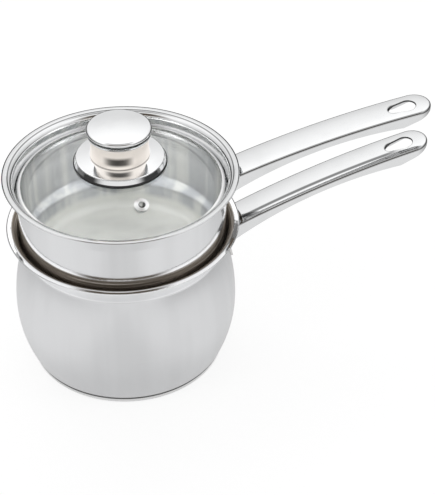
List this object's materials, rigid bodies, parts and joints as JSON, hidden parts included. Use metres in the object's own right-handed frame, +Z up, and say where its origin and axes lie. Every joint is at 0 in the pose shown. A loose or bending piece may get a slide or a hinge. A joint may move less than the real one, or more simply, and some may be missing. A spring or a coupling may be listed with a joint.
{
  "type": "double boiler",
  "caption": "Double boiler: bellied saucepan with a sandwich base, insert pan seated in its mouth, glass lid with a knob and vent, long hollow handles with hanging eyes.",
  "frame": {"origin": "centre of the flat face under the lower pan's base", "axes": "+Z up along the pans' common axis, +X along both handles, towards their free ends"},
  "size_m": [0.3165, 0.17, 0.1983],
  "materials": {
    "pan_steel": "polished outside with a mirror-bright mouth, satin inside",
    "base_steel": "turned satin",
    "heat_disc": "rolled",
    "handle_steel": "mirror-polished stainless steel",
    "strip_steel": "satin stainless steel",
    "lid_glass": "clear tempered glass",
    "band_steel": "polished stainless steel",
    "seal_silicone": "translucent silicone",
    "gasket_rubber": "black silicone",
    "knob_steel": "mirror-polished stainless steel",
    "fixing_steel": "bright zinc-free stainless steel"
  },
  "bodies": {
    "lower_pan": {"lower_pan_shell": "pan_steel", "base_heat_disc": "heat_disc", "base_cap": "base_steel", "lower_handle_bracket": "strip_steel", "lower_handle_shell": "handle_steel", "lower_handle_strip": "strip_steel"},
    "upper_pan": {"upper_pan_shell": "pan_steel", "upper_handle_bracket": "strip_steel", "upper_handle_shell": "handle_steel", "upper_handle_strip": "strip_steel"},
    "lid": {"lid_rim_band": "band_steel", "lid_rim_seal": "seal_silicone", "lid_glass": "lid_glass", "vent_eyelet": "fixing_steel", "vent_washer": "gasket_rubber", "knob_gasket": "gasket_rubber", "knob_skirt": "knob_steel", "knob_neck": "knob_steel", "knob_cap": "knob_steel", "knob_nut": "fixing_steel", "knob_screw": "fixing_steel", "knob_washer": "fixing_steel", "knob_seal": "gasket_rubber"}
  },
  "joints": [
    {"name": "upper_pan_lift", "type": "slide", "parent": "lower_pan", "child": "upper_pan", "axis": [0, 0, 1], "range_m": [0, 0.12]},
    {"name": "lid_lift", "type": "slide", "parent": "upper_pan", "child": "lid", "axis": [0, 0, 1], "range_m": [0, 0.1]}
  ]
}
